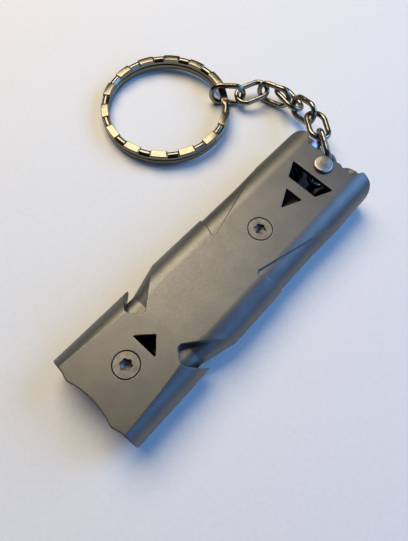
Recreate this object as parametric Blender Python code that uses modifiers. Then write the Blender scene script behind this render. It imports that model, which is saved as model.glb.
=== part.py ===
"""Training whistle: two steel whistle tubes in a flat two-shell casing, with a short chain and a split ring.

Run it with blender --background --python part.py, or from Blender's text editor.

Units are metres. X runs along the whistle, from the plain end at -X to the mouth end at +X. +Z points out
of the front face. The origin is the middle of the flat back face, which the whistle lies on.
"""

import math

import bmesh
import bpy
from mathutils import Euler, Matrix, Vector

# ---- driving dimensions, in metres ----

LENGTH = 0.0594
THICKNESS = 0.0084
WALL = 0.0009
GAP = 0.0001  # clearance between pieces that fit together

SIDE_RADIUS = THICKNESS / 2
MIDDLE = THICKNESS / 2  # height of the plane where the two shells meet
TUBE_SPREAD = 0.00515  # each tube's axis is this far from the centre line
BLOCK_SPREAD = 0.00485  # the plain end is a little narrower
BLOCK_LENGTH = 0.0149
OVERLAP = 0.0003  # how far solids that are joined run into each other
BLOCK_DROP = 0.0005  # how far the flats fall from the end of the block to the plain end

# Distances called "at" are measured from the plain end.
SCREW_LOWER_AT = 0.00694
SCREW_UPPER_AT = 0.0375
PIN_AT = 0.0551

POCKET_1_DEPTH = 0.0017
POCKET_1_END = 0.0213
POCKET_2_START = 0.0296
POCKET_2_END = 0.0492
POCKET_2_RADIUS = 0.0038
POCKET_2_SPREAD = 0.00525

TUBE_RADIUS = SIDE_RADIUS - WALL - GAP
TUBE_WALL = 0.0005
TUBE_START = 0.0222
TUBE_END = 0.0592
WINDWAY_START = 0.0521  # the plug's inner end, where the air leaves the windway
WINDWAY_HEIGHT = 0.001
PLUG_END = 0.0589  # the windway plugs stop just inside the tubes
LIP_AT = 0.0491  # edge of the sound window that the air strikes
WINDOW_TURN = math.radians(38)  # the sound windows face up and towards each other
END_PLUG_LEFT = 0.0036  # the two tubes are plugged to different depths, for two tones
END_PLUG_RIGHT = 0.0062

SCREW_HEAD_RADIUS = 0.00202
SCREW_RADIUS = 0.0008
POST_RADIUS = 0.0017
PIN_RADIUS = 0.0006
PIN_HEAD_RADIUS = 0.0018

LINK_WIRE = 0.00105
LINK_SIZE = (0.0033, 0.00192)  # half length and half width of the wire's centre line
FIRST_LINK_SIZE = (0.0036, 0.00155)  # the link on the pin is longer and narrower, to fit between the tubes

RING_RADIUS = 0.0122  # of the coil's centre line
RING_BAND = 0.0015
RING_EDGE = 0.00035  # how far the corners of the band are cut back
RING_COIL_HEIGHT = 0.00124
RING_GAP = 0.00008  # between the ring's two turns
RING_AT = 0.0486
RING_ACROSS = 0.0328
RING_TILT = Vector((-0.034, 0.032, 1)).normalized()  # the ring leans on the last link
RING_STEP_AT = math.radians(13)  # where its turns change level, measured round from its highest side

# How the chain lies: the middle of each link as (at, Y, height) in millimetres, then the way it points, its
# climb and its twist in degrees. The first link is on the pin, and the last one holds the ring.
CHAIN = (
    (57.0, 0.1, 4.7, 3, 0, 37),
    (60.7, 2.9, 5.6, 56, 9, -103),
    (64.2, 6.9, 5.4, 48, -6, 7),
    (66.3, 11.6, 4.2, 71, -22, -76),
    (67.9, 16.1, 2.7, 78, 0, 24),
    (66.5, 19.0, 2.6, 103, -5, -81),
    (63.8, 22.7, 2.4, 156, -7, -3),
    (59.8, 26.0, 2.4, 132, 0, -79),
)

FACETS = 11  # segments in each quarter of the casing's round sides


def along(at):
    """The X of a distance from the plain end."""
    return at - LENGTH / 2


# ---- scene and materials ----


def clear_scene():
    for obj in list(bpy.data.objects):
        bpy.data.objects.remove(obj, do_unlink=True)


def new_collection(name):
    collection = bpy.data.collections.new(name)
    bpy.context.scene.collection.children.link(collection)
    return collection


def new_material(name, colour, roughness, metallic):
    material = bpy.data.materials.new(name)
    material.use_nodes = True
    shader = material.node_tree.nodes["Principled BSDF"]
    shader.inputs["Base Color"].default_value = (*colour, 1)
    shader.inputs["Roughness"].default_value = roughness
    shader.inputs["Metallic"].default_value = metallic
    material.diffuse_color = (*colour, 1)
    return material


clear_scene()
PARTS = new_collection("training_whistle")
CUTTERS = new_collection("cutters")
BLASTED = new_material("blasted_steel", (0.36, 0.34, 0.31), 0.45, 1)
TURNED = new_material("turned_steel", (0.5, 0.49, 0.47), 0.3, 1)
NICKEL = new_material("nickel_plate", (0.62, 0.58, 0.52), 0.18, 1)


# ---- mesh helpers ----


def place(name, bm, material=None):
    """Turns a bmesh into an object: a part if it has a material, and otherwise a hidden cutter."""
    bmesh.ops.recalc_face_normals(bm, faces=bm.faces)
    mesh = bpy.data.meshes.new(name)
    bm.to_mesh(mesh)
    bm.free()
    obj = bpy.data.objects.new(name, mesh)
    if material:
        PARTS.objects.link(obj)
        mesh.materials.append(material)
        mesh.shade_smooth()
        mesh.set_sharp_from_angle(angle=math.radians(32))
    else:
        CUTTERS.objects.link(obj)
        obj.hide_render = True
        obj.display_type = "WIRE"
    return obj


def boolean(obj, operation, other):
    modifier = obj.modifiers.new(f"{operation.lower()}_{other.name}", "BOOLEAN")
    modifier.operation = operation
    modifier.object = other
    modifier.solver = "EXACT"


def cut(obj, *cutters):
    for cutter in cutters:
        boolean(obj, "DIFFERENCE", cutter)


def mirror(obj):
    """Adds the other side of a piece that lies wholly at +Y."""
    modifier = obj.modifiers.new("other_side", "MIRROR")
    modifier.use_axis = (False, True, False)
    modifier.use_mirror_merge = False


def hull(name, bm, material=None):
    """The convex body round a bmesh's points."""
    made = bmesh.ops.convex_hull(bm, input=bm.verts)
    spare = {v for v in made["geom_interior"] + made["geom_unused"] if isinstance(v, bmesh.types.BMVert)}
    bmesh.ops.delete(bm, geom=list(spare), context="VERTS")
    return place(name, bm, material)


def circle(x, y, radius):
    """Points of a circle that lies across the whistle, about (y, MIDDLE)."""
    count = 4 * FACETS
    turns = (2 * math.pi * k / count for k in range(count))
    return [(x, y + radius * math.cos(turn), MIDDLE + radius * math.sin(turn)) for turn in turns]


def stadium(name, start, end, material=None):
    """A flat bar with round sides, between two sections (at, radius, spread)."""
    bm = bmesh.new()
    for at, radius, spread in (start, end):
        for side in (spread, -spread):
            for point in circle(along(at), side, radius):
                bm.verts.new(point)
    return hull(name, bm, material)


def fillet(before, corner, after, radius, steps=6):
    """Points of an arc that rounds one corner of an outline."""
    before, corner, after = Vector(before), Vector(corner), Vector(after)
    if not radius:
        return [corner]
    into = (before - corner).normalized()
    out = (after - corner).normalized()
    half = into.angle(out) / 2
    reach = radius / math.tan(half)
    centre = corner + (into + out).normalized() * radius / math.sin(half)
    first = (corner + into * reach - centre).normalized()
    last = (corner + out * reach - centre).normalized()
    return [centre + first.slerp(last, k / steps) * radius for k in range(steps + 1)]


def outline(corners):
    """An outline of (at, y, radius) corners, each rounded to its radius."""
    points = [(along(at), y) for at, y, _ in corners]
    rounded = []
    for k, (_, _, radius) in enumerate(corners):
        rounded += fillet(points[k - 1], points[k], points[(k + 1) % len(points)], radius)
    return rounded


def prism(name, points, low, high):
    """A plan outline raised from one height to another."""
    bm = bmesh.new()
    face = bm.faces.new([bm.verts.new((x, y, low)) for x, y in points])
    raised = bmesh.ops.extrude_face_region(bm, geom=[face])["geom"]
    moved = [v for v in raised if isinstance(v, bmesh.types.BMVert)]
    bmesh.ops.translate(bm, verts=moved, vec=(0, 0, high - low))
    return place(name, bm)


def box(name, low, high, material=None):
    bm = bmesh.new()
    bmesh.ops.create_cube(bm, size=1)
    size = Vector(high) - Vector(low)
    centre = (Vector(high) + Vector(low)) / 2
    bmesh.ops.transform(bm, verts=bm.verts, matrix=Matrix.Translation(centre) @ Matrix.Diagonal((*size, 1)))
    return place(name, bm, material)


def turned(name, profile, material=None, steps=32):
    """A profile of (radius, height) points turned about Z, from its outer top corner downwards."""
    mesh = bpy.data.meshes.new(name)
    points = [(radius, 0, height) for radius, height in profile]
    count = len(points)
    closed = profile[0][0] > 0 and profile[-1][0] > 0
    edges = [(k, (k + 1) % count) for k in range(count if closed else count - 1)]
    mesh.from_pydata(points, edges, [])
    obj = bpy.data.objects.new(name, mesh)
    (PARTS if material else CUTTERS).objects.link(obj)
    screw = obj.modifiers.new("turn", "SCREW")
    screw.steps = steps
    screw.render_steps = steps
    screw.use_merge_vertices = True
    screw.merge_threshold = 0.00001
    screw.use_smooth_shade = True
    if material:
        mesh.materials.append(material)
    else:
        obj.hide_render = True
        obj.display_type = "WIRE"
    return obj


# ---- casing ----


def wave(y):
    """How far the plain end's edge stands in from its nominal line: two low lobes beside a shallow dip."""
    across = abs(y)
    dip = 0.0003 * (1 + math.cos(math.pi * min(across / 0.0036, 1))) / 2
    lobe = 0.00042 * math.exp(-(((across - 0.0046) / 0.0011) ** 2))
    return dip - lobe


def casing_plan():
    """The casing's outline from above: a waved plain end and rounded corners at the mouth end."""
    half_width = TUBE_SPREAD + SIDE_RADIUS + 0.001
    corner = TUBE_SPREAD + SIDE_RADIUS
    steps = 24
    edge = [half_width * (1 - 2 * k / steps) for k in range(steps + 1)]
    plain_end = [(along(wave(y)), y) for y in edge]
    mouth_end = outline(
        [
            (0.0400, -half_width, 0),
            (0.0575, -half_width, 0),
            (0.0575, -corner, 0),
            (LENGTH, -corner, 0.0016),
            (LENGTH, corner, 0.0016),
            (0.0575, corner, 0),
            (0.0575, half_width, 0),
        ]
    )
    return prism("casing_plan", plain_end + mouth_end, -0.001, THICKNESS + 0.001)


def pocket_1():
    """The deep pocket behind the plain end: a wall that slants across the side, and a floor that rises."""
    side = 0.0105
    rim = [
        (0.0234, side, 0),
        (0.0205, 0.0084, 0.0080),
        (0.0141, 0.0034, 0.0008),
        (0.0122, 0.0059, 0.0010),
        (0.0136, 0.0086, 0.0020),
        (BLOCK_LENGTH, 0.0092, 0),
        (BLOCK_LENGTH, side, 0),
    ]
    cutter = prism("pocket_1", outline(rim), -0.001, THICKNESS + 0.001)
    low = SIDE_RADIUS - POCKET_1_DEPTH
    ramp_start = BLOCK_LENGTH + OVERLAP
    flat = stadium("pocket_1_flat", (0.0100, low, TUBE_SPREAD), (ramp_start + OVERLAP, low, TUBE_SPREAD))
    ramp = stadium(
        "pocket_1_ramp", (ramp_start, low, TUBE_SPREAD), (POCKET_1_END, SIDE_RADIUS, TUBE_SPREAD)
    )
    rest = stadium(
        "pocket_1_rest",
        (POCKET_1_END - OVERLAP, SIDE_RADIUS, TUBE_SPREAD),
        (0.0300, SIDE_RADIUS, TUBE_SPREAD),
    )
    mirror(cutter)
    cut(cutter, flat, ramp, rest)
    return cutter


def pocket_2():
    """The long shallow pocket beside the upper screw, which fades out towards the mouth end."""
    side = 0.0105
    rim = [
        (0.0505, side, 0),
        (0.0460, 0.0082, 0),
        (0.0398, 0.0067, 0.0200),
        (0.0308, 0.0044, 0.0005),
        (0.0334, side, 0),
    ]
    cutter = prism("pocket_2", outline(rim), -0.001, THICKNESS + 0.001)
    floor = stadium(
        "pocket_2_floor",
        (POCKET_2_START, POCKET_2_RADIUS, POCKET_2_SPREAD),
        (0.0420, POCKET_2_RADIUS, POCKET_2_SPREAD),
    )
    rise = stadium(
        "pocket_2_rise",
        (0.0420 - OVERLAP, POCKET_2_RADIUS, POCKET_2_SPREAD),
        (POCKET_2_END, SIDE_RADIUS, TUBE_SPREAD),
    )
    rest = stadium(
        "pocket_2_rest",
        (POCKET_2_END - OVERLAP, SIDE_RADIUS, TUBE_SPREAD),
        (0.0550, SIDE_RADIUS, TUBE_SPREAD),
    )
    mirror(cutter)
    cut(cutter, floor, rise, rest)
    return cutter


def cavities():
    """The hollow inside the casing: wide round the tail block and the tubes, narrow under the deep pockets."""
    radius = SIDE_RADIUS - WALL
    low = radius - POCKET_1_DEPTH
    ramp_start = BLOCK_LENGTH + OVERLAP
    return (
        stadium("cavity_block", (-0.001, radius, BLOCK_SPREAD), (0.0116, radius, BLOCK_SPREAD)),
        stadium("cavity_neck", (0.0110, low, TUBE_SPREAD), (ramp_start + OVERLAP, low, TUBE_SPREAD)),
        stadium("cavity_ramp", (ramp_start, low, TUBE_SPREAD), (POCKET_1_END, radius, TUBE_SPREAD)),
        stadium(
            "cavity_tubes", (POCKET_1_END - OVERLAP, radius, TUBE_SPREAD), (0.0600, radius, TUBE_SPREAD)
        ),
    )


def block_flat(name, side):
    """A wedge that takes the gently falling flat off the plain end, front (side 1) or back (side -1)."""
    slope = math.atan(BLOCK_DROP / BLOCK_LENGTH)
    depth = 0.004
    wedge = box(name, (-0.022, -0.012, 0), (0, 0.012, depth))
    turn = Matrix.Rotation(-side * slope, 4, "Y")
    if side < 0:
        turn = turn @ Matrix.Translation((0, 0, -depth))
    height = THICKNESS if side > 0 else 0
    wedge.matrix_world = Matrix.Translation((along(BLOCK_LENGTH), 0, height)) @ turn
    return wedge


def casing():
    """The whole casing before it is parted into two shells. It is a guide and isn't built itself."""
    whole = stadium(
        "casing",
        (-0.001, SIDE_RADIUS, BLOCK_SPREAD),
        (BLOCK_LENGTH + OVERLAP, SIDE_RADIUS, BLOCK_SPREAD),
    )
    body = stadium(
        "casing_body",
        (BLOCK_LENGTH + OVERLAP / 2, SIDE_RADIUS, TUBE_SPREAD),
        (0.0600, SIDE_RADIUS, TUBE_SPREAD),
    )
    boolean(whole, "UNION", body)
    boolean(whole, "INTERSECT", casing_plan())
    cut(whole, block_flat("block_flat_front", 1), block_flat("block_flat_back", -1))
    cut(whole, pocket_1(), pocket_2(), *cavities(), notch())
    return whole


def notch():
    """The opening at the mouth end that lets the chain out, with a small lug each side of the chain."""
    edge = 0.0573
    lug = edge + 0.0003
    half = [
        (0.0610, 0.0071, 0),
        (LENGTH, 0.0062, 0),
        (edge, 0.0050, 0.0003),
        (edge, 0.0028, 0.0003),
        (lug, 0.0023, 0.0003),
        (lug, 0.0016, 0.0003),
        (edge, 0.0010, 0.0003),
    ]
    other_half = [(at, -y, radius) for at, y, radius in reversed(half)]
    return prism("notch", outline(half + other_half), -0.001, THICKNESS + 0.001)


def windows():
    """The two triangles and the trapezoid in the front face."""
    top = THICKNESS + 0.001
    low = MIDDLE + 0.0005
    lower = [(0.01057, 0.00237, 0.0001), (0.01057, -0.00237, 0.0001), (0.0131, 0, 0.0001)]
    upper = [(0.04677, -0.00169, 0.0001), (0.04677, 0.00169, 0.0001), (0.04315, 0, 0.0001)]
    sound = [
        (0.05214, -0.00438, 0.0001),
        (0.05214, 0.00438, 0.0001),
        (0.04892, 0.00292, 0.0003),
        (0.04892, -0.00292, 0.0003),
    ]
    return (
        prism("window_lower", outline(lower), low, top),
        prism("window_upper", outline(upper), low, top),
        prism("window_sound", outline(sound), low, top),
    )


def face_height(at):
    """Height of the front face on the centre line."""
    return THICKNESS - BLOCK_DROP * max(0, 1 - at / BLOCK_LENGTH)


def screw_seat(name, at):
    """The countersunk hole that a screw sits in."""
    height = face_height(at)
    clear = 0.0001
    seat = turned(
        name,
        [
            (0, 0.001),
            (SCREW_HEAD_RADIUS + clear, 0.001),
            (SCREW_HEAD_RADIUS + clear, -0.00025),
            (SCREW_RADIUS + 2 * clear, -0.00085),
            (SCREW_RADIUS + 2 * clear, -0.003),
            (0, -0.003),
        ],
    )
    seat.location = (along(at), 0, height)
    return seat


def pin_holes():
    """The holes that the chain pin passes through, the back one countersunk."""
    clear = 0.0001
    front = turned(
        "pin_hole_front",
        [
            (0, THICKNESS + 0.001),
            (PIN_RADIUS + clear, THICKNESS + 0.001),
            (PIN_RADIUS + clear, MIDDLE),
            (0, MIDDLE),
        ],
    )
    back = turned(
        "pin_hole_back",
        [
            (0, MIDDLE),
            (PIN_RADIUS + clear, MIDDLE),
            (PIN_RADIUS + clear, 0.0008),
            (2 * PIN_RADIUS + clear, 0.0001),
            (2 * PIN_RADIUS + clear, -0.001),
            (0, -0.001),
        ],
    )
    for hole in (front, back):
        hole.location = (along(PIN_AT), 0, 0)
    return front, back


def shells(whole):
    """The front and back shells: the casing parted at its middle plane, and the front one's openings."""
    reach = 0.04
    wide = 0.012
    part = GAP / 2
    below = box("below_middle", (-reach, -wide, -0.002), (reach, wide, MIDDLE + part))
    above = box("above_middle", (-reach, -wide, MIDDLE - part), (reach, wide, THICKNESS + 0.002))
    front_hole, back_hole = pin_holes()
    for name, other_half, openings in (
        (
            "front_shell",
            below,
            (
                *windows(),
                screw_seat("seat_lower", SCREW_LOWER_AT),
                screw_seat("seat_upper", SCREW_UPPER_AT),
                front_hole,
            ),
        ),
        ("back_shell", above, (back_hole,)),
    ):
        shell = bpy.data.objects.new(name, bpy.data.meshes.new(name))
        PARTS.objects.link(shell)
        shell.data.materials.append(BLASTED)
        boolean(shell, "UNION", whole)
        cut(shell, other_half, *openings)


# ---- whistle tubes and what fills the casing ----


def across(side):
    """Turns a piece made about Z so that it lies along X on one tube's axis, with its +Y side up."""
    lie = Matrix(((0, 0, 1, 0), (1, 0, 0, 0), (0, 1, 0, 0), (0, 0, 0, 1)))
    turn = Matrix.Rotation(side * WINDOW_TURN, 4, "X")
    return Matrix.Translation((0, side * TUBE_SPREAD, MIDDLE)) @ turn @ lie


def tube(name, side):
    """A whistle tube with a sound window, whose far edge is bevelled to a lip."""
    inner = TUBE_RADIUS - TUBE_WALL
    start, end = along(TUBE_START), along(TUBE_END)
    body = turned(
        name,
        [(TUBE_RADIUS, end), (TUBE_RADIUS, start), (inner, start), (inner, end)],
        TURNED,
        steps=40,
    )
    body.matrix_world = across(side)
    window = prism(
        f"{name}_window",
        [
            (along(WINDWAY_START), 0.0010),
            (along(WINDWAY_START), 0.0050),
            (along(LIP_AT) - 0.0022, 0.0050),
            (along(LIP_AT) - 0.0022, TUBE_RADIUS + 0.0001),
            (along(LIP_AT), inner - 0.0002),
            (along(LIP_AT), 0.0010),
        ],
        -0.0019,
        0.0019,
    )
    upright = Matrix(((1, 0, 0, 0), (0, 0, 1, 0), (0, 1, 0, 0), (0, 0, 0, 1)))
    turn = Matrix.Rotation(side * WINDOW_TURN, 4, "X")
    window.matrix_world = Matrix.Translation((0, side * TUBE_SPREAD, MIDDLE)) @ turn @ upright
    cut(body, window)
    return body


def plug(name, side, start, end, flat=None):
    """A plug in a tube. A windway plug has a flat, under which the air passes."""
    radius = TUBE_RADIUS - TUBE_WALL - GAP / 2
    top = radius if flat is None else radius - flat
    bm = bmesh.new()
    count = 32
    for at in (start, end):
        for k in range(count):
            turn = 2 * math.pi * (k + 0.5) / count
            y = radius * math.cos(turn)
            z = min(radius * math.sin(turn), top)
            if radius * math.sin(turn) > top:
                y = math.copysign(min(abs(y), math.sqrt(radius**2 - top**2)), y)
            bm.verts.new((y, z, along(at)))
    obj = hull(name, bm, TURNED)
    obj.matrix_world = across(side)
    return obj


def tail_block():
    """The solid block that closes the plain end and takes the lower screw."""
    radius = SIDE_RADIUS - WALL - GAP
    block = stadium("tail_block", (0.0009, radius, BLOCK_SPREAD), (0.0102, radius, BLOCK_SPREAD), TURNED)
    hole = turned(
        "tail_block_hole",
        [(0, THICKNESS), (0.00105, THICKNESS), (0.00105, 0.0022), (0, 0.0022)],
        steps=24,
    )
    hole.location = (along(SCREW_LOWER_AT), 0, 0)
    cut(block, hole)


def screw_post():
    """The threaded post between the tubes that takes the upper screw."""
    bore = SCREW_RADIUS + 2 * GAP
    low = WALL + GAP
    high = THICKNESS - WALL - GAP
    post = turned(
        "screw_post",
        [
            (0, 0.0022),
            (bore, 0.0022),
            (bore, high),
            (POST_RADIUS, high),
            (POST_RADIUS, low),
            (0, low),
        ],
        TURNED,
    )
    post.location = (along(SCREW_UPPER_AT), 0, 0)


# ---- fasteners ----


def lobed_recess(name, radius):
    """A six-lobed recess, as deep as the screw's head."""
    lobes = 6
    points = []
    for k in range(lobes * 6):
        turn = 2 * math.pi * k / (lobes * 6)
        reach = radius * (0.88 + 0.12 * math.cos(lobes * turn))
        points.append((reach * math.cos(turn), reach * math.sin(turn)))
    return prism(name, points, -0.0007, 0.001)


def screw(name, at, recess_radius):
    """A countersunk screw, its head flush with the front face."""
    body = turned(
        name,
        [
            (0, -0.00002),
            (SCREW_HEAD_RADIUS, -0.00002),
            (SCREW_HEAD_RADIUS, -0.00025),
            (SCREW_RADIUS, -0.0008),
            (SCREW_RADIUS, -0.0050),
            (0, -0.0050),
        ],
        BLASTED,
    )
    recess = lobed_recess(f"{name}_recess", recess_radius)
    spot = (along(at), 0, face_height(at))
    body.location = spot
    recess.location = spot
    cut(body, recess)


def chain_pin():
    """The pin that the chain hangs on: a low domed head on the front face and a flush tail in the back."""
    base = THICKNESS + 0.00003
    steps = 8
    profile = []
    for k in range(steps + 1):
        turn = math.pi / 2 * k / steps
        profile.append((PIN_HEAD_RADIUS * math.sin(turn), base + 0.00025 + 0.00045 * math.cos(turn)))
    profile += [
        (PIN_HEAD_RADIUS, base),
        (PIN_RADIUS, base),
        (PIN_RADIUS, 0.00075),
        (2 * PIN_RADIUS, 0.0001),
        (2 * PIN_RADIUS, 0.00003),
        (0, 0.00003),
    ]
    pin = turned("chain_pin", profile, NICKEL)
    pin.location = (along(PIN_AT), 0, 0)


# ---- chain and split ring ----


def oval(half_length, half_width, steps=10):
    """The centre line of a link's wire: two half circles joined by straight sides."""
    straight = half_length - half_width
    points = []
    for end in (1, -1):
        for k in range(steps + 1):
            turn = math.pi * (k / steps - 0.5)
            points.append((end * (straight + half_width * math.cos(turn)), end * half_width * math.sin(turn), 0))
    return points


def wire(name, points, closed):
    """A curve object through the points. Its section comes from a bevel."""
    curve = bpy.data.curves.new(name, "CURVE")
    curve.dimensions = "3D"
    spline = curve.splines.new("POLY")
    spline.points.add(len(points) - 1)
    for spot, point in zip(spline.points, points):
        spot.co = (*point, 1)
    spline.use_cyclic_u = closed
    spline.use_smooth = True
    curve.use_fill_caps = not closed
    curve.materials.append(NICKEL)
    obj = bpy.data.objects.new(name, curve)
    PARTS.objects.link(obj)
    return obj


def link_frame(number):
    """Where a link lies: its middle, with X along it and Z out of its flat side."""
    at, y, height, heading, pitch, roll = CHAIN[number - 1]
    middle = Vector((at / 1000 - LENGTH / 2, y / 1000, height / 1000))
    turn = Euler((math.radians(roll), math.radians(-pitch), math.radians(heading)))
    return Matrix.Translation(middle) @ turn.to_matrix().to_4x4()


def link_size(number):
    return FIRST_LINK_SIZE if number == 1 else LINK_SIZE


def hinge(number):
    """The point that holds a link or the ring: the pin, or the far end of the link before it."""
    if number == 1:
        return Vector((along(PIN_AT), 0, MIDDLE))
    return link_frame(number - 1) @ Vector((link_size(number - 1)[0], 0, 0))


def link(number):
    """One chain link, with its origin on its joint's axis."""
    lies = link_frame(number)
    origin = lies.inverted() @ hinge(number)
    points = [Vector(point) - origin for point in oval(*link_size(number))]
    obj = wire(f"link_{number}", points, closed=True)
    obj.data.bevel_depth = LINK_WIRE / 2
    obj.data.bevel_resolution = 2
    obj.matrix_world = lies @ Matrix.Translation(origin)


def band_section():
    """The flat spring wire's section, with its corners cut back."""
    x, y = RING_BAND / 2, RING_COIL_HEIGHT / 2
    quarter = ((x, y - RING_EDGE), (x - RING_EDGE, y))
    corners = []
    for across, up in ((1, 1), (1, -1), (-1, -1), (-1, 1)):
        pair = quarter[::-1] if across == up else quarter
        corners += [(across * px, up * py) for px, py in pair]
    curve = bpy.data.curves.new("band_section", "CURVE")
    spline = curve.splines.new("POLY")
    spline.points.add(len(corners) - 1)
    for spot, corner in zip(spline.points, corners):
        spot.co = (*corner, 0, 1)
    spline.use_cyclic_u = True
    section = bpy.data.objects.new("band_section", curve)
    CUTTERS.objects.link(section)
    section.hide_render = True
    section.display_type = "WIRE"
    return section


def spread(first, last, steps):
    """Evenly spaced values from the first to the last."""
    return [first + (last - first) * k / steps for k in range(steps + 1)]


def split_ring():
    """Two turns of flat spring wire. Each end meets the bend where one turn steps up onto the other.

    The origin is in the band, where the last link holds it.
    """
    step = RING_COIL_HEIGHT + RING_GAP
    bend = math.radians(10)
    start = bend + math.radians(2)
    turns = spread(start, 2 * math.pi - bend, 34)
    turns += spread(2 * math.pi - bend, 2 * math.pi + bend, 6)[1:]
    turns += spread(2 * math.pi + bend, 4 * math.pi - start, 34)[1:]
    lowest = RING_RADIUS * math.hypot(RING_TILT.x, RING_TILT.y) / RING_TILT.z + RING_COIL_HEIGHT + RING_GAP / 2
    centre = Vector((along(RING_AT), RING_ACROSS, lowest))
    leans = RING_TILT.to_track_quat("Z", "X").to_matrix().to_4x4()
    lies = Matrix.Translation(centre) @ leans @ Matrix.Rotation(RING_STEP_AT, 4, "Z")
    held = lies.inverted() @ hinge(len(CHAIN) + 1)
    origin = Vector((held.x, held.y, 0)).normalized() * RING_RADIUS
    points = []
    for turn in turns:
        rise = min(max((turn - 2 * math.pi + bend) / (2 * bend), 0), 1)
        rise = rise * rise * (3 - 2 * rise)
        points.append(
            Vector((RING_RADIUS * math.cos(turn), RING_RADIUS * math.sin(turn), step * (rise - 0.5))) - origin
        )
    ring = wire("split_ring", points, closed=False)
    ring.data.twist_mode = "Z_UP"
    ring.data.bevel_mode = "OBJECT"
    ring.data.bevel_object = band_section()
    ring.matrix_world = lies @ Matrix.Translation(origin)


def main():
    shells(casing())
    for side, name in ((1, "left"), (-1, "right")):
        tube(f"tube_{name}", side)
        plug(f"windway_plug_{name}", side, WINDWAY_START, PLUG_END, WINDWAY_HEIGHT)
        deep = END_PLUG_LEFT if side > 0 else END_PLUG_RIGHT
        plug(f"end_plug_{name}", side, TUBE_START + 0.0001, TUBE_START + deep)
    tail_block()
    screw_post()
    screw("screw_lower", SCREW_LOWER_AT, 0.00095)
    screw("screw_upper", SCREW_UPPER_AT, 0.00098)
    chain_pin()
    for number in range(1, len(CHAIN) + 1):
        link(number)
    split_ring()


main()
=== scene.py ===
"""The training whistle's looks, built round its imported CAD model.

Shapes are worked out in millimetres, in the model's own frame: X runs from the plain end to the mouth end and
+Z points out of the front face. Distances called "at" are measured from the plain end. The casing, tubes and
fasteners are solids given by signed distances, which are meshed on a fine lattice so that every edge is
slightly rounded. The chain and the ring are swept.
"""

import math

import bmesh
import bpy
import numpy as np
from mathutils import Matrix, Vector


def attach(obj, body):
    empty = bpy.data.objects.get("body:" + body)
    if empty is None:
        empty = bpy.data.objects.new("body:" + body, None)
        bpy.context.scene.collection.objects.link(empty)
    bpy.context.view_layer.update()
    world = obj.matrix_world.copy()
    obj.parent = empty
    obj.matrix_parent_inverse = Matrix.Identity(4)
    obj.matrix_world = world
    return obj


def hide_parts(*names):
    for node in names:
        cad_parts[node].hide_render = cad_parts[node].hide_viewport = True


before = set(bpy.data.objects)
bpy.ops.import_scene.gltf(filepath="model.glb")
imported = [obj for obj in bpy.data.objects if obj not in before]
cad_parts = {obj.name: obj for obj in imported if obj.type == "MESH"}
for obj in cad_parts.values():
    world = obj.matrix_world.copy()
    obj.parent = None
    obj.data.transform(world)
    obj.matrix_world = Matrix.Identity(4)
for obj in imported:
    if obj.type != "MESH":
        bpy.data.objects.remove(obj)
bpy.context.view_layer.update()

MM = 0.001

# ---- the casing's driving dimensions, in millimetres ----

LENGTH = 59.4
THICKNESS = 8.4
WALL = 0.9
SIDE_RADIUS = THICKNESS / 2
MIDDLE = THICKNESS / 2
TUBE_SPREAD = 5.15
BLOCK_SPREAD = 4.85
BLOCK_LENGTH = 14.9
SIDE_END = 16.1  # where the plain end's round sides stop, at the deep pockets
BLOCK_DROP = 0.5
PARTING = 0.05  # half the gap between the two shells

POCKET_1_DEPTH = 1.7
POCKET_1_END = 21.3
POCKET_2_RISE = 42.0
POCKET_2_END = 49.2
POCKET_2_RADIUS = 3.8
POCKET_2_SPREAD = 5.25

RIM = 0.13  # radius of the pockets' rims
CREASE = 0.12  # radius at the foot of the pockets' walls
END_EDGE = 0.18
MOUTH_EDGE = 0.3
FINE_EDGE = 0.06  # radius of window and hole edges

SCREW_LOWER_AT = 6.94
SCREW_UPPER_AT = 37.5
SCREW_HEAD_RADIUS = 2.02
SCREW_RADIUS = 0.8
SCREW_LENGTH = 4.98
HEAD_RIM = 0.23  # height of the head's cylindrical rim
HEAD_HEIGHT = 0.78
SEAT_GAP = 0.09  # round a screw's head
SEAT_DEPTH = 0.55
BORE_GAP = 0.2  # round a screw's shank
BORE_FLOOR = 2.2  # height where the bores under the screws end
PIN_AT = 55.1
PIN_RADIUS = 0.6
PIN_HEAD_RADIUS = 1.8
PIN_HEAD_HEIGHT = 0.68
PIN_GAP = 0.1
RECESS_RADIUS = 0.98
RECESS_DEPTH = 1.1
POST_RADIUS = 1.7
FIT_GAP = 0.1  # between the shells and what fills them

TUBE_RADIUS = 3.2
TUBE_WALL = 0.5
PLUG_RADIUS = TUBE_RADIUS - TUBE_WALL - 0.05
WINDWAY_HEIGHT = 1.0
SOUND_WINDOW_WIDTH = 3.8
TUBE_START = 22.2
TUBE_END = 59.2
PLUG_END = 58.9
FILLER_START = 0.9
FILLER_END = 10.2
NOTCH_AT = 57.3  # the mouth end's edge between its two corners
LUG_AT = 57.6  # and at the small lugs beside the chain
WINDWAY_START = 52.1  # the plug's inner end, where the air leaves the windway
LIP_AT = 49.1  # edge of the sound window that the air strikes
WINDOW_TURN = math.radians(38)  # the sound windows face up and towards each other
END_PLUG_LEFT = 3.6
END_PLUG_RIGHT = 6.2

RING_BAND = 1.5
RING_GAP = 0.08  # between the ring's two turns
RING_EDGE = 0.16
RING_UNDER_EDGE = 0.3
RING_NECK_EDGE = 0.4
RING_NECK_FALL = 0.5
RING_NECK_DROP = 0.08
RING_NOTCH = 0.09  # the stamp's mark between a pad and a neck
RING_DISH = 0.06
RING_LEAN = 0.05  # of a pad, its outer edge lower
RING_PADS = 14
RING_BEND = math.radians(10)  # half the turn over which the band changes level
RING_END_GAP = math.radians(2)  # between that bend and each free end
RING_PAD_SHARE = 0.6  # of each pad and the neck after it
RING_PHASE = math.radians(-9.1)
RING_STEP_AT = math.radians(13)  # where its turns change level, measured round from its highest side

CELL = 0.12  # lattice spacing for the shells


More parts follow.
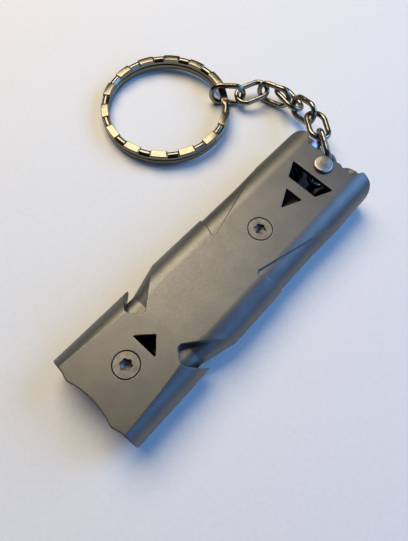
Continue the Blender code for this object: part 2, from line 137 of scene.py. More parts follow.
def along(at):
    """The X of a distance from the plain end."""
    return at - LENGTH / 2


# ---- signed distances, negative inside ----


def meet(a, b, radius=0.0):
    """Where two solids overlap, with their shared edge rounded."""
    if np.isscalar(radius) and radius == 0:
        return np.maximum(a, b)
    corner = np.hypot(np.maximum(a + radius, 0), np.maximum(b + radius, 0))
    return np.minimum(np.maximum(a, b), -radius) + corner


def join(a, b, radius=0.0):
    """Two solids as one, with a fillet where they meet."""
    return -meet(-a, -b, radius)


def cut(a, b, radius=0.0):
    """The first solid without the second."""
    return meet(a, -b, radius)


def bar(y, z, radius, spread):
    """A flat bar with round sides, lying along X about the casing's middle plane."""
    return np.hypot(np.maximum(np.abs(y) - spread, 0), z - MIDDLE) - radius


def between(x, start, end):
    """The stretch between two distances along the whistle."""
    return np.abs(x - along((start + end) / 2)) - (end - start) / 2


def ramp(x, start, end, first, last):
    """A value that goes evenly from first to last between two distances along the whistle."""
    share = np.clip((x - along(start)) / (end - start), 0, 1)
    return first + (last - first) * share


def smooth(share):
    share = np.clip(share, 0, 1)
    return share * share * (3 - 2 * share)


def fillet(before, corner, after, radius, steps=6):
    """Points of an arc that rounds one corner of an outline."""
    if not radius:
        return [corner]
    into = (before - corner).normalized()
    out = (after - corner).normalized()
    half = into.angle(out) / 2
    reach = radius / math.tan(half)
    centre = corner + (into + out).normalized() * radius / math.sin(half)
    first = (corner + into * reach - centre).normalized()
    last = (corner + out * reach - centre).normalized()
    return [centre + first.slerp(last, k / steps) * radius for k in range(steps + 1)]


def rounded(corners):
    """A closed outline of (x, y, radius) corners, each rounded to its radius."""
    points = [Vector((x, y)) for x, y, _ in corners]
    found = []
    for k, (_, _, radius) in enumerate(corners):
        found += fillet(points[k - 1], points[k], points[(k + 1) % len(points)], radius)
    return np.array([tuple(point) for point in found])


def outline(corners):
    """A rounded outline in plan whose corners are (at, y, radius)."""
    return rounded([(along(at), y, radius) for at, y, radius in corners])


def inside_outline(x, y, points):
    """Signed distance in plan to a closed outline."""
    x, y = np.broadcast_arrays(x, y)
    nearest = np.full(x.shape, np.inf)
    crossings = np.zeros(x.shape, bool)
    for (x0, y0), (x1, y1) in zip(points, np.roll(points, -1, axis=0)):
        dx, dy = x1 - x0, y1 - y0
        share = np.clip(((x - x0) * dx + (y - y0) * dy) / (dx * dx + dy * dy), 0, 1)
        nearest = np.minimum(nearest, np.hypot(x - x0 - share * dx, y - y0 - share * dy))
        if dy:
            spans = (y0 > y) != (y1 > y)
            crossings ^= spans & (x < x0 + (y - y0) * dx / dy)
    return np.where(crossings, -nearest, nearest)


# ---- meshing ----

CUBE = np.array([(i, j, k) for i in (0, 1) for j in (0, 1) for k in (0, 1)])
CUBE_EDGES = [
    (a, b) for a in range(8) for b in range(a + 1, 8) if np.abs(CUBE[a] - CUBE[b]).sum() == 1
]


def slope(field, points, reach):
    """The field's gradient at each point."""
    found = np.empty_like(points)
    for axis in range(3):
        step = np.zeros(3)
        step[axis] = reach
        ahead, behind = points + step, points - step
        found[:, axis] = (field(*ahead.T) - field(*behind.T)) / (2 * reach)
    return found


def surface_net(field, low, high, cell):
    """Points and quads of the field's zero surface, with one point in each lattice cell that it crosses."""
    axes = [np.arange(lo, hi + cell, cell) for lo, hi in zip(low, high)]
    value = field(axes[0][:, None, None], axes[1][None, :, None], axes[2][None, None, :])
    value = np.ascontiguousarray(np.broadcast_to(value, [len(axis) for axis in axes]))
    inside = value < 0
    size = np.array(inside.shape) - 1
    count = np.zeros(size, np.uint8)
    for i, j, k in CUBE:
        count += inside[i : size[0] + i, j : size[1] + j, k : size[2] + k]
    cells = np.argwhere((count > 0) & (count < 8))
    corner = np.stack([value[tuple((cells + offset).T)] for offset in CUBE], axis=1)
    total = np.zeros((len(cells), 3))
    crossings = np.zeros(len(cells))
    for a, b in CUBE_EDGES:
        crosses = (corner[:, a] < 0) != (corner[:, b] < 0)
        share = corner[:, a] / np.where(crosses, corner[:, a] - corner[:, b], 1)
        spot = CUBE[a] + share[:, None] * (CUBE[b] - CUBE[a])
        total[crosses] += spot[crosses]
        crossings += crosses
    points = np.array(low) + cell * (cells + total / crossings[:, None])
    number = np.full(size, -1)
    number[tuple(cells.T)] = np.arange(len(cells))
    quads = []
    for axis in range(3):
        b, c = (axis + 1) % 3, (axis + 2) % 3
        near = np.take(inside, range(size[axis]), axis=axis)
        far = np.take(inside, range(1, size[axis] + 1), axis=axis)
        for leaving, turns in ((near & ~far, (0, 1, 2, 3)), (far & ~near, (3, 2, 1, 0))):
            found = np.argwhere(leaving)
            within = (found[:, b] > 0) & (found[:, b] < size[b]) & (found[:, c] > 0) & (found[:, c] < size[c])
            found = found[within]
            around = []
            for db, dc in ((-1, -1), (0, -1), (0, 0), (-1, 0)):
                spot = found.copy()
                spot[:, b] += db
                spot[:, c] += dc
                around.append(number[tuple(spot.T)])
            quads.append(np.stack([around[turn] for turn in turns], axis=1))
    return points, np.concatenate(quads)


def settle(field, points, cell, steps=3):
    """Moves the points onto the surface."""
    for _ in range(steps):
        rise = slope(field, points, cell / 8)
        steep = np.maximum((rise * rise).sum(axis=1), 0.05)
        move = rise * (field(*points.T) / steep)[:, None]
        far = np.maximum(np.linalg.norm(move, axis=1) / (cell / 2), 1)
        points = points - move / far[:, None]
    return points


def new_object(name, points, faces, material):
    """A smooth-shaded mesh object from points in millimetres."""
    mesh = bpy.data.meshes.new(name)
    mesh.from_pydata(points * MM, [], faces)
    mesh.polygons.foreach_set("use_smooth", np.ones(len(mesh.polygons), bool))
    mesh.update()
    mesh.materials.append(material)
    obj = bpy.data.objects.new(name, mesh)
    bpy.context.scene.collection.objects.link(obj)
    return obj


def solid(name, field, low, high, cell, triangles, material):
    """Meshes a field between two corners, with about that many triangles, shaded by the field's own slope."""
    points, quads = surface_net(field, low, high, cell)
    points = settle(field, points, cell)
    obj = new_object(name, points, quads, material)
    if len(quads) * 2 > triangles:
        thin = obj.modifiers.new("thin", "DECIMATE")
        thin.ratio = triangles / (2 * len(quads))
        graph = bpy.context.evaluated_depsgraph_get()
        thinned = bpy.data.meshes.new_from_object(obj.evaluated_get(graph))
        obj.modifiers.remove(thin)
        obj.data = thinned
    corners = np.empty(len(obj.data.vertices) * 3)
    obj.data.vertices.foreach_get("co", corners)
    rise = slope(field, corners.reshape(-1, 3) / MM, cell / 4)
    rise /= np.maximum(np.linalg.norm(rise, axis=1, keepdims=True), 1e-6)
    obj.data.normals_split_custom_set_from_vertices(rise)
    return obj


# ---- casing ----


def wave(y):
    """How far the plain end's edge stands in from its nominal line: two low lobes beside a shallow dip."""
    across = np.abs(y)
    dip = 0.3 * (1 + np.cos(math.pi * np.minimum(across / 3.6, 1))) / 2
    lobe = 0.42 * np.exp(-(((across - 4.6) / 1.1) ** 2))
    return dip - lobe


POCKET_1_RIM = outline(
    [
        (23.4, 10.5, 0),
        (20.5, 8.4, 8.0),
        (14.1, 3.4, 0.8),
        (12.2, 5.9, 1.0),
        (14.4, 8.4, 2.0),
        (SIDE_END, 9.25, 0),
        (SIDE_END, 10.5, 0),
    ]
)
POCKET_2_RIM = outline(
    [
        (50.5, 10.5, 0),
        (46.0, 8.2, 0),
        (39.8, 6.7, 20.0),
        (30.8, 4.4, 0.5),
        (33.4, 10.5, 0),
    ]
)
MOUTH_PLAN = outline(
    [
        (20.0, -TUBE_SPREAD - SIDE_RADIUS, 0),
        (LENGTH, -TUBE_SPREAD - SIDE_RADIUS, 1.6),
        (LENGTH, TUBE_SPREAD + SIDE_RADIUS, 1.6),
        (20.0, TUBE_SPREAD + SIDE_RADIUS, 0),
    ]
)
HALF_NOTCH = [
    (62.0, 7.69, 0),
    (LENGTH, 6.2, 0.2),
    (NOTCH_AT, 5.0, 0.3),
    (NOTCH_AT, 2.8, 0.3),
    (LUG_AT, 2.3, 0.3),
    (LUG_AT, 1.6, 0.3),
    (NOTCH_AT, 1.0, 0.3),
]
NOTCH = outline(HALF_NOTCH + [(at, -y, radius) for at, y, radius in reversed(HALF_NOTCH)])
WINDOWS = (
    outline([(10.57, 2.37, 0.1), (10.57, -2.37, 0.1), (13.1, 0, 0.1)]),
    outline([(46.77, -1.69, 0.1), (46.77, 1.69, 0.1), (43.15, 0, 0.1)]),
    outline([(52.14, -4.38, 0.1), (52.14, 4.38, 0.1), (48.92, 2.92, 0.3), (48.92, -2.92, 0.3)]),
)


def pocket(body, x, y, z, rim, floor, fade):
    """Lowers the body to a floor inside a pocket's rim. The edges get finer as the pocket runs out."""
    wall = -inside_outline(x, np.abs(y), rim)
    return meet(body, join(wall, floor, CREASE * fade), RIM * fade)


def casing(x, y, z):
    """The whole casing, before it is parted into two shells."""
    spread = ramp(x, SIDE_END, SIDE_END + 2, BLOCK_SPREAD, TUBE_SPREAD)
    body = bar(y, z, SIDE_RADIUS, spread)
    fall = BLOCK_DROP / BLOCK_LENGTH
    for height in (z - THICKNESS, -z):
        flat = (height - fall * (x - along(BLOCK_LENGTH))) / math.hypot(1, fall)
        body = np.maximum(body, np.where(x < along(BLOCK_LENGTH), flat, -1))
    body = meet(body, wave(y) + along(0) - x, END_EDGE)
    mouth = inside_outline(x, y, MOUTH_PLAN)
    body = meet(body, np.where(x > along(50), mouth, -1), MOUTH_EDGE)

    low = SIDE_RADIUS - POCKET_1_DEPTH
    rise = math.hypot(1, POCKET_1_DEPTH / (POCKET_1_END - BLOCK_LENGTH))
    floor = bar(y, z, ramp(x, BLOCK_LENGTH + 0.3, POCKET_1_END, low, SIDE_RADIUS), TUBE_SPREAD) / rise
    body = pocket(body, x, y, z, POCKET_1_RIM, floor, ramp(x, 17, POCKET_1_END, 1, 0.05))
    radius = ramp(x, POCKET_2_RISE, POCKET_2_END, POCKET_2_RADIUS, SIDE_RADIUS)
    spread = ramp(x, POCKET_2_RISE, POCKET_2_END, POCKET_2_SPREAD, TUBE_SPREAD)
    floor = bar(y, z, radius, spread)
    body = pocket(body, x, y, z, POCKET_2_RIM, floor, ramp(x, 41, POCKET_2_END, 1, 0.05))
    return cut(body, inside_outline(x, y, NOTCH), 0.12)


def cavity(x, y, z):
    """The hollow inside the casing: wide round the block and the tubes, narrow under the deep pockets."""
    wide = SIDE_RADIUS - WALL
    low = wide - POCKET_1_DEPTH
    block = np.maximum(bar(y, z, wide, BLOCK_SPREAD), x - along(11.6))
    neck = bar(y, z, ramp(x, BLOCK_LENGTH + 0.3, POCKET_1_END, low, wide), TUBE_SPREAD)
    return np.minimum(block, np.maximum(neck, along(11) - x))


def face_height(at):
    """Height of the front face on the centre line."""
    return THICKNESS - BLOCK_DROP * max(0, 1 - at / BLOCK_LENGTH)


def screw_seat(x, y, z, at):
    """The countersunk hole that a screw sits in."""
    reach = np.hypot(x - along(at), y)
    depth = face_height(at) - z
    head = np.maximum(reach - SCREW_HEAD_RADIUS - SEAT_GAP, depth - SEAT_DEPTH)
    return np.minimum(head, reach - SCREW_RADIUS - BORE_GAP)


def front_shell(x, y, z):
    body = meet(cut(casing(x, y, z), cavity(x, y, z)), MIDDLE + PARTING - z, FINE_EDGE)
    for window in WINDOWS:
        body = cut(body, inside_outline(x, y, window), FINE_EDGE)
    for at in (SCREW_LOWER_AT, SCREW_UPPER_AT):
        body = cut(body, screw_seat(x, y, z, at), FINE_EDGE)
    return cut(body, np.hypot(x - along(PIN_AT), y) - PIN_RADIUS - PIN_GAP)


def back_shell(x, y, z):
    body = meet(cut(casing(x, y, z), cavity(x, y, z)), z - MIDDLE + PARTING, FINE_EDGE)
    reach = np.hypot(x - along(PIN_AT), y)
    sink = np.maximum(reach - 2 * PIN_RADIUS - PIN_GAP, reach - PIN_RADIUS - 0.8 + z)
    return cut(body, np.minimum(sink, reach - PIN_RADIUS - PIN_GAP), FINE_EDGE)


# ---- materials ----


class Nodes:
    """A material's node tree, built up from its Principled shader."""

    def __init__(self, name):
        self.material = bpy.data.materials.new(name)
        self.material.use_nodes = True
        self.tree = self.material.node_tree
        self.shader = self.tree.nodes["Principled BSDF"]
        self.place = self.add("ShaderNodeTexCoord").outputs["Object"]

    def add(self, kind, inputs=None, **settings):
        node = self.tree.nodes.new(kind)
        for key, value in settings.items():
            setattr(node, key, value)
        for key, value in (inputs or {}).items():
            if isinstance(value, bpy.types.NodeSocket):
                self.tree.links.new(value, node.inputs[key])
            else:
                node.inputs[key].default_value = value
        return node

    def noise(self, size, detail=2.0, roughness=0.5, place=None):
        """Noise from 0 to 1 whose features are about that many millimetres across."""
        inputs = {"Vector": place or self.place, "Scale": 1 / (size * MM), "Detail": detail}
        return self.add("ShaderNodeTexNoise", {**inputs, "Roughness": roughness}).outputs["Fac"]

    def spots(self, spacing, radius, place=None):
        """1 at scattered round spots, 0 between them."""
        inputs = {"Vector": place or self.place, "Scale": 1 / (spacing * MM)}
        distance = self.add("ShaderNodeTexVoronoi", inputs).outputs["Distance"]
        return self.remap(distance, radius / spacing, 0.4 * radius / spacing, 0, 1)

    def remap(self, value, low, high, first, last):
        inputs = {"Value": value, "From Min": low, "From Max": high, "To Min": first, "To Max": last}
        return self.add("ShaderNodeMapRange", inputs).outputs["Result"]

    def sum(self, a, b):
        node = self.add("ShaderNodeMath", operation="ADD")
        self.tree.links.new(a, node.inputs[0])
        self.tree.links.new(b, node.inputs[1])
        return node.outputs["Value"]

    def times(self, a, b):
        node = self.add("ShaderNodeMath", operation="MULTIPLY")
        self.tree.links.new(a, node.inputs[0])
        if isinstance(b, bpy.types.NodeSocket):
            self.tree.links.new(b, node.inputs[1])
        else:
            node.inputs[1].default_value = b
        return node.outputs["Value"]

    def blend(self, factor, first, second):
        """A colour between two, each given as numbers or as a socket."""
        node = self.add("ShaderNodeMix", data_type="RGBA")
        self.tree.links.new(factor, node.inputs[0])
        for socket, colour in ((node.inputs[6], first), (node.inputs[7], second)):
            if isinstance(colour, bpy.types.NodeSocket):
                self.tree.links.new(colour, socket)
            else:
                socket.default_value = (*colour, 1)
        return node.outputs[2]

    def finish(self, colour, roughness, height, depth, metallic=1.0):
        """Links the shader. The height socket stands out by depth millimetres at most."""
        bump = self.add("ShaderNodeBump", {"Height": height, "Distance": depth * MM, "Strength": 1.0})
        self.tree.links.new(colour, self.shader.inputs["Base Color"])
        self.tree.links.new(roughness, self.shader.inputs["Roughness"])
        self.tree.links.new(bump.outputs["Normal"], self.shader.inputs["Normal"])
        self.shader.inputs["Metallic"].default_value = metallic
        return self.material


def blasted_steel():
    """Bead-blasted stainless steel: a fine even grain, faint mottling, and a few darker dents."""
    nodes = Nodes("blasted_steel")
    grain = nodes.noise(0.16, detail=3)
    mottle = nodes.noise(3.5, detail=3)
    dents = nodes.spots(4.6, 0.24)
    colour = nodes.blend(nodes.remap(mottle, 0.3, 0.7, 0, 1), (0.155, 0.152, 0.145), (0.185, 0.18, 0.17))
    colour = nodes.blend(nodes.remap(grain, 0.3, 0.7, 0, 0.35), colour, (0.13, 0.127, 0.12))
    colour = nodes.blend(nodes.times(dents, 0.6), colour, (0.09, 0.075, 0.06))
    roughness = nodes.sum(nodes.remap(grain, 0.25, 0.75, 0.40, 0.54), nodes.times(dents, 0.1))
    height = nodes.sum(grain, nodes.times(dents, -0.8))
    return nodes.finish(colour, roughness, height, 0.012)


def polished(name, colour, shade, roughness, size=0.9, depth=0.006):
    """Plated or polished metal with faint handling marks."""
    nodes = Nodes(name)
    cloud = nodes.noise(size, detail=3)
    fine = nodes.noise(0.12, detail=2)
    tint = nodes.blend(nodes.remap(cloud, 0.35, 0.7, 0, 1), colour, shade)
    worn = nodes.remap(cloud, 0.3, 0.7, roughness, roughness * 1.5)
    rough = nodes.sum(worn, nodes.remap(fine, 0.3, 0.7, 0, 0.05))
    return nodes.finish(tint, rough, nodes.sum(nodes.times(cloud, 1.0), nodes.times(fine, 0.15)), depth)


def turned_steel():
    """Turned stainless steel, with painted shade: dark inside the casing, where shade falls, and its own
    lighter tone past the pin at the mouth end.
    """
    nodes = Nodes("turned_steel")
    cloud = nodes.noise(0.9, detail=3)
    at = nodes.add("ShaderNodeSeparateXYZ", {"Vector": nodes.place}).outputs["X"]
    # painted shade: the steel is darkest inside the casing and lightens to its own tone just past the pin
    out_of_painted_shade = nodes.remap(at, (along(PIN_AT) + 0.6) * MM, (along(PIN_AT) + 1.6) * MM, 0, 1)
    colour = nodes.blend(out_of_painted_shade, (0.10, 0.098, 0.095), (0.40, 0.39, 0.37))
    colour = nodes.blend(nodes.remap(cloud, 0.3, 0.7, 0, 0.4), colour, (0.08, 0.078, 0.075))
    return nodes.finish(colour, nodes.remap(cloud, 0.3, 0.7, 0.24, 0.36), cloud, 0.006)


BLASTED = blasted_steel()
TURNED = turned_steel()
SCREW = polished("screw_steel", (0.19, 0.18, 0.165), (0.15, 0.142, 0.13), 0.36)
PIN = polished("pin_nickel", (0.40, 0.385, 0.355), (0.34, 0.325, 0.30), 0.28, size=1.2, depth=0.05)
CHAIN = polished("chain_nickel", (0.28, 0.25, 0.20), (0.22, 0.195, 0.16), 0.17)
RING = polished("ring_nickel", (0.20, 0.185, 0.14), (0.165, 0.15, 0.12), 0.13)


# ---- pieces ----


def add_piece(obj, body, slot, *nodes):
    """Puts a finished piece on its body, in the place of those CAD nodes."""
    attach(obj, body)
    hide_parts(*nodes)


def make_shells():
    end = along(LENGTH)
    side = TUBE_SPREAD + SIDE_RADIUS
    for name, field, bottom, top in (
        ("front", front_shell, MIDDLE, THICKNESS),
        ("back", back_shell, 0, MIDDLE),
    ):
        low = (-end - 0.8, -side - 0.3, bottom - 0.3)
        high = (end + 0.3, side + 0.3, top + 0.3)
        shell = solid(f"casing_{name}", field, low, high, CELL, 90000, BLASTED)
        add_piece(shell, "whistle", "blasted_steel", f"{name}_shell")


def tube(side):
    """A whistle tube with a sound window, whose far edge is bevelled to a lip."""
    inner = TUBE_RADIUS - TUBE_WALL
    window = rounded(
        [
            (along(WINDWAY_START), 1.0, 0),
            (along(WINDWAY_START), 5.0, 0),
            (along(LIP_AT) - 2.2, 5.0, 0),
            (along(LIP_AT) - 2.2, TUBE_RADIUS + 0.1, 0),
            (along(LIP_AT), inner - 0.2, 0),
            (along(LIP_AT), 1.0, 0),
        ]
    )

    def field(x, y, z):
        reach = np.hypot(y - side * TUBE_SPREAD, z - MIDDLE)
        wall = np.abs(reach - (TUBE_RADIUS + inner) / 2) - TUBE_WALL / 2
        ends = between(x, TUBE_START, TUBE_END)
        turn = side * WINDOW_TURN
        across = (y - side * TUBE_SPREAD) * math.cos(turn) + (z - MIDDLE) * math.sin(turn)
        up = (z - MIDDLE) * math.cos(turn) - (y - side * TUBE_SPREAD) * math.sin(turn)
        opening = np.maximum(inside_outline(x, up, window), np.abs(across) - SOUND_WINDOW_WIDTH / 2)
        return cut(meet(wall, ends, 0.1), opening, 0.04)

    return field


def plug(side, start, end, flat):
    """A plug in a tube. The air passes under its flat, if it has one."""
    def field(x, y, z):
        turn = side * WINDOW_TURN
        up = (z - MIDDLE) * math.cos(turn) - (y - side * TUBE_SPREAD) * math.sin(turn)
        round_side = np.hypot(y - side * TUBE_SPREAD, z - MIDDLE) - PLUG_RADIUS
        ends = between(x, start, end)
        return meet(meet(round_side, up - PLUG_RADIUS + flat, 0.05), ends, 0.12)

    return field


def make_tubes():
    reach = TUBE_RADIUS + 0.3
    for side, name, deep in ((1, "left", END_PLUG_LEFT), (-1, "right", END_PLUG_RIGHT)):
        windway_plug = plug(side, WINDWAY_START, PLUG_END, WINDWAY_HEIGHT)
        end_plug = plug(side, TUBE_START + 0.1, TUBE_START + deep, 0)
        for kind, field, start, end, triangles in (
            ("tube", tube(side), TUBE_START, TUBE_END, 30000),
            ("windway_plug", windway_plug, WINDWAY_START, PLUG_END, 6000),
            ("end_plug", end_plug, TUBE_START, TUBE_START + deep, 6000),
        ):
            low = (along(start) - 0.3, side * TUBE_SPREAD - reach, MIDDLE - reach)
            high = (along(end) + 0.3, side * TUBE_SPREAD + reach, MIDDLE + reach)
            piece = solid(f"{kind}_{name}_turned", field, low, high, CELL, triangles, TURNED)
            add_piece(piece, "whistle", "turned_steel", f"{kind}_{name}")


def tail_block(x, y, z):
    radius = SIDE_RADIUS - WALL - FIT_GAP
    body = meet(bar(y, z, radius, BLOCK_SPREAD), between(x, FILLER_START, FILLER_END), 0.25)
    hole = np.maximum(np.hypot(x - along(SCREW_LOWER_AT), y) - 1.05, BORE_FLOOR - z)
    return cut(body, hole, 0.05)


def screw_post(x, y, z):
    reach = np.hypot(x - along(SCREW_UPPER_AT), y)
    body = meet(reach - POST_RADIUS, np.abs(z - MIDDLE) - MIDDLE + WALL + FIT_GAP, 0.1)
    return cut(body, np.maximum(reach - SCREW_RADIUS - BORE_GAP, BORE_FLOOR - z), 0.05)


def screw(at):
    """A countersunk screw with a six-lobed recess, its head just below the front face."""
    top = face_height(at) - 0.02
    profile = rounded(
        [
            (-1.0, top, 0),
            (SCREW_HEAD_RADIUS, top, 0.07),
            (SCREW_HEAD_RADIUS, top - HEAD_RIM, 0),
            (SCREW_RADIUS, top - HEAD_HEIGHT, 0),
            (SCREW_RADIUS, top - SCREW_LENGTH, 0.15),
            (-1.0, top - SCREW_LENGTH, 0),
        ]
    )

    def field(x, y, z):
        x = x - along(at)
        reach = np.hypot(x, y)
        lobes = RECESS_RADIUS * (0.91 + 0.09 * np.cos(6 * np.arctan2(y, x)))
        recess = np.maximum((reach - lobes) * 0.9, top - RECESS_DEPTH + 0.55 * reach - z)
        return cut(inside_outline(reach, z, profile), recess, 0.05)

    return field


def chain_pin(x, y, z):
    """The pin that the chain hangs on. Its head was hammered down in two blows, which left a faint ridge."""
    x = x - along(PIN_AT)
    reach = np.hypot(x, y)
    base = THICKNESS + 0.03
    top = base + PIN_HEAD_HEIGHT
    first = z - top + 0.02 + 0.13 * (y - 0.1) - 0.03 * x
    second = z - top + 0.02 - 0.10 * (y - 0.1) + 0.06 * x
    head = meet(reach - PIN_HEAD_RADIUS, meet(first, second, 0.2), 0.34)
    head = meet(head, base - z, 0.05)
    shaft = np.maximum(reach - PIN_RADIUS, np.maximum(z - THICKNESS - 0.4, 0.75 - z))
    tail = np.maximum(reach - 2 * PIN_RADIUS, reach - PIN_RADIUS - 0.75 + z)
    tail = np.maximum(tail, np.maximum(0.03 - z, z - 1))
    return np.minimum(head, np.minimum(shaft, tail))


def make_fasteners():
    reach = SCREW_HEAD_RADIUS + 0.2
    for name, at in (("lower", SCREW_LOWER_AT), ("upper", SCREW_UPPER_AT)):
        top = face_height(at)
        low, high = (along(at) - reach, -reach, top - 5.3), (along(at) + reach, reach, top + 0.2)
        piece = solid(f"countersunk_screw_{name}", screw(at), low, high, CELL / 2, 24000, SCREW)
        add_piece(piece, "whistle", "screw_steel", f"screw_{name}")
    reach = PIN_HEAD_RADIUS + 0.2
    low, high = (along(PIN_AT) - reach, -reach, -0.2), (along(PIN_AT) + reach, reach, THICKNESS + 1)
    piece = solid("hammered_pin", chain_pin, low, high, CELL / 2, 24000, PIN)
    add_piece(piece, "whistle", "pin_nickel", "chain_pin")
    side = BLOCK_SPREAD + SIDE_RADIUS
    low, high = (along(0.5), -side, 0.5), (along(10.5), side, THICKNESS - 0.5)
    piece = solid("tail_filler", tail_block, low, high, CELL, 12000, TURNED)
    add_piece(piece, "whistle", "turned_steel", "tail_block")
    middle = along(SCREW_UPPER_AT)
    low, high = (middle - 2, -2, 0.5), (middle + 2, 2, THICKNESS - 0.5)
    piece = solid("threaded_post", screw_post, low, high, CELL, 6000, TURNED)
    add_piece(piece, "whistle", "turned_steel", "screw_post")


# ---- chain and split ring ----


def lie_of(node):
    """The middle of a CAD node, its longest, middling and thinnest directions, and its size along each."""
    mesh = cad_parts[node].data
    corners = np.empty(len(mesh.vertices) * 3)
    mesh.vertices.foreach_get("co", corners)
    corners = np.unique(np.round(corners.reshape(-1, 3) / MM, 4), axis=0)
    mean = corners.mean(axis=0)
    axes = np.linalg.svd(corners - mean, full_matrices=False)[2]
    spans = (corners - mean) @ axes.T
    low, high = spans.min(axis=0), spans.max(axis=0)
    return mean + (low + high) / 2 @ axes, axes, high - low


def swept(name, centres, outwards, up, section, closed, material):
    """A mesh swept along a line. The section gives (outward, upward) offsets at each of its points."""
    points = centres[:, None] + section[..., :1] * outwards[:, None] + section[..., 1:] * up
    index = np.arange(points.shape[0] * points.shape[1]).reshape(points.shape[:2])
    here, ahead = (index, np.roll(index, -1, axis=0)) if closed else (index[:-1], index[1:])
    sides = [here, np.roll(here, -1, axis=1), np.roll(ahead, -1, axis=1), ahead]
    faces = np.stack(sides, axis=-1).reshape(-1, 4).tolist()
    if not closed:
        faces += [index[0][::-1].tolist(), index[-1].tolist()]
    obj = new_object(name, points.reshape(-1, 3), faces, material)
    tidy = bmesh.new()
    tidy.from_mesh(obj.data)
    bmesh.ops.recalc_face_normals(tidy, faces=tidy.faces)
    tidy.to_mesh(obj.data)
    tidy.free()
    return obj


def link(number):
    """A link of round wire bent to an oval, with the butt joint of its two ends on one long side."""
    middle, axes, size = lie_of(f"link_{number}")
    radius = size[2] / 2
    half_width = size[1] / 2 - radius
    straight = (size[0] - size[1]) / 2
    bend = math.pi * half_width
    around = 4 * straight + 2 * bend
    seam = np.linspace(-0.25, 0.25, 15)
    spots = np.unique(np.concatenate([np.linspace(0.3, around - 0.3, 90), seam % around]))
    centres, outwards = [], []
    for spot in spots:
        lap, rest = divmod((spot + straight) % around, 2 * straight + bend)
        side = 1 - 2 * lap
        if rest < 2 * straight:
            along_link, across, turn = rest - straight, half_width, math.pi / 2
        else:
            turn = math.pi / 2 - (rest - 2 * straight) / half_width
            along_link, across = straight + half_width * math.cos(turn), half_width * math.sin(turn)
        centres.append(side * np.array([along_link, across]))
        outwards.append(side * np.array([math.cos(turn), math.sin(turn)]))
    offset = np.minimum(spots, around - spots)
    reach = radius * (1 - 0.16 * np.exp(-((offset / 0.06) ** 2)))
    turns = np.linspace(0, 2 * math.pi, 20, endpoint=False)
    circle = np.stack([np.cos(turns), np.sin(turns)], axis=-1)
    section = reach[:, None, None] * circle
    return swept(
        f"chain_link_{number}",
        middle + np.array(centres) @ axes[:2],
        np.array(outwards) @ axes[:2],
        axes[2],
        section,
        True,
        CHAIN,
    )


def band_section(neck, drop, lean, width, height):
    """The ring band's section. A neck's flat top is narrow, with sloped flanks, and a pad's is broad."""
    half_width, half_height = width / 2, height / 2
    reach = RING_EDGE * (1 - neck) + RING_NECK_EDGE * neck
    fall = RING_EDGE * (1 - neck) + RING_NECK_FALL * neck
    points = []
    for side in (1, -1):
        for share in np.linspace(0, 1, 9)[::side]:
            turn = math.radians(90 * share)
            across = neck * (1 - share) + (1 - neck) * math.cos(turn)
            upward = neck * share + (1 - neck) * math.sin(turn)
            x = side * (half_width - reach + reach * across)
            points.append((x, half_height - drop + lean * x - fall * (1 - upward)))
    for side, start in ((-1, 180), (1, 270)):
        for turn in np.radians(np.linspace(start, start + 90, 9)):
            x = side * (half_width - RING_UNDER_EDGE) + RING_UNDER_EDGE * math.cos(turn)
            points.append((x, RING_UNDER_EDGE * (1 + math.sin(turn)) - half_height))
    return points


def split_ring():
    """Two turns of flat wire. The upper turn is stamped with pads and narrower necks between them."""
    middle, axes, size = lie_of("split_ring")
    up = axes[2] * np.sign(axes[2][2])
    uphill = np.array([0, 0, 1]) - up[2] * up
    uphill /= np.linalg.norm(uphill)
    across = np.cross(up, uphill)
    height = (size[2] - RING_GAP) / 2
    radius = (size[0] + size[1]) / 4 - RING_BAND / 2
    step = height + RING_GAP
    start = RING_BEND + RING_END_GAP
    end = 4 * math.pi - start
    pitch = 2 * math.pi / RING_PADS
    edges = np.arange(0, 4 * math.pi, pitch) + RING_PHASE
    edges = np.concatenate([edges + RING_PAD_SHARE * pitch / 2, edges - RING_PAD_SHARE * pitch / 2])
    close = (edges[:, None] + np.linspace(-0.02, 0.02, 9)).ravel()
    turns = np.concatenate([np.linspace(start, end, 480), close])
    turns = np.unique(np.round(turns[(turns >= start) & (turns <= end)], 4))
    rise = smooth((turns - 2 * math.pi + RING_BEND) / (2 * RING_BEND))
    number = np.round((turns - RING_PHASE) / pitch)
    half_pad = RING_PAD_SHARE * pitch / 2
    place = (turns - RING_PHASE - number * pitch) / half_pad
    stamped = smooth((turns - 2 * math.pi - RING_BEND) / 0.1)
    neck = smooth((np.abs(place) - 1) * half_pad / 0.016 + 0.5) * stamped
    notch = np.exp(-(((np.abs(place) - 1) * half_pad / 0.009) ** 2))
    dished = np.clip(place, -1, 1) ** 2 + np.sin(2.4 * number) * np.clip(place, -1, 1)
    hollow = RING_NOTCH * notch + RING_DISH * (1 - neck) * (0.5 + dished / 2)
    drop = RING_NECK_DROP * neck + stamped * hollow
    lean = RING_LEAN * (0.5 * np.sin(1.7 * number + 1) - 1) * (1 - neck) * stamped
    section = np.array([band_section(*values, RING_BAND, height) for values in zip(neck, drop, lean)])
    ends = np.minimum(turns - start, end - turns) * radius
    section *= (1 - 0.12 * smooth(1 - ends / 0.15))[:, None, None]
    round_ring = turns + RING_STEP_AT
    outwards = np.cos(round_ring)[:, None] * uphill + np.sin(round_ring)[:, None] * across
    centres = middle + radius * outwards + (step * (rise - 0.5))[:, None] * up
    return swept("stamped_split_ring", centres, outwards, up, section, False, RING)


def make_chain():
    for number in range(1, 9):
        add_piece(link(number), f"link_{number}", "chain_nickel", f"link_{number}")
    add_piece(split_ring(), "key_ring", "ring_nickel", "split_ring")


make_shells()
make_tubes()
make_fasteners()
make_chain()


# ---- floor, light and camera ----


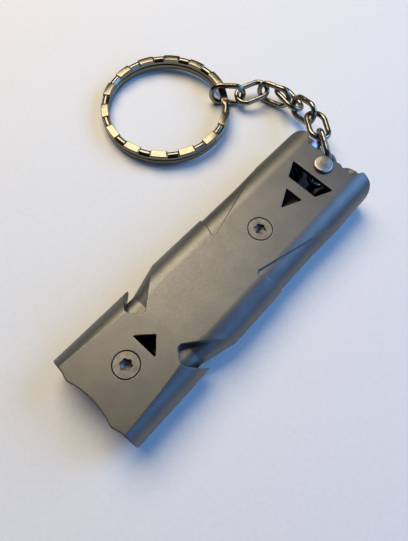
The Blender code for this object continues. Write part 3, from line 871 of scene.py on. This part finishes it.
def floor():
    nodes = Nodes("paper")
    grain = nodes.noise(0.8, detail=3)
    colour = nodes.blend(nodes.remap(grain, 0.3, 0.7, 0, 1), (0.80, 0.80, 0.80), (0.83, 0.83, 0.83))
    nodes.finish(colour, nodes.remap(grain, 0.3, 0.7, 0.85, 0.95), grain, 0.02, metallic=0)
    mesh = bpy.data.meshes.new("floor")
    half = 1.5
    corners = [(-half, -half, 0), (half, -half, 0), (half, half, 0), (-half, half, 0)]
    mesh.from_pydata(corners, [], [(0, 1, 2, 3)])
    mesh.materials.append(nodes.material)
    obj = bpy.data.objects.new("floor", mesh)
    bpy.context.scene.collection.objects.link(obj)
    obj.location.z = -0.00001


def area_light(name, place, size, power, colour, target=(0, 0.005, 0)):
    light = bpy.data.lights.new(name, "AREA")
    light.shape = "RECTANGLE"
    light.size, light.size_y = size
    light.energy = power
    light.color = colour
    obj = bpy.data.objects.new(name, light)
    bpy.context.scene.collection.objects.link(obj)
    obj.location = place
    obj.rotation_euler = (Vector(target) - Vector(place)).to_track_quat("-Z", "Y").to_euler()
    return obj


def lighting():
    """A broad warm light on the left and a broad cool one beyond the mouth end, in a dim room."""
    world = bpy.data.worlds.new("studio")
    world.use_nodes = True
    background = world.node_tree.nodes["Background"]
    background.inputs["Color"].default_value = (0.62, 0.66, 0.75, 1)
    background.inputs["Strength"].default_value = 0.03
    bpy.context.scene.world = world
    bpy.context.scene.view_settings.view_transform = "Standard"
    area_light("key", (0.08, 0.21, 0.33), (0.28, 0.28), 1.62, (1.0, 0.86, 0.64))
    area_light("cool", (0.37, -0.20, 0.28), (0.29, 0.29), 1.58, (0.22, 0.49, 1.0))
    area_light("side", (0.02, -0.36, 0.20), (0.30, 0.22), 0.5, (0.16, 0.42, 1.0))


def camera():
    data = bpy.data.cameras.new("camera")
    data.sensor_fit = "AUTO"
    data.sensor_width = 36
    data.lens = 29.15
    data.clip_start = 0.001
    obj = bpy.data.objects.new("camera", data)
    bpy.context.scene.collection.objects.link(obj)
    right = Vector((0.67386, -0.73650, 0.05869)).normalized()
    forward = Vector((0.3083, 0.2081, -0.9282)).normalized()
    up = right.cross(forward)
    turn = Matrix((right, up, -forward)).transposed().to_4x4()
    obj.matrix_world = Matrix.Translation(Vector((-25.53, -12.72, 72.74)) * MM) @ turn
    bpy.context.scene.camera = obj


floor()
lighting()
camera()
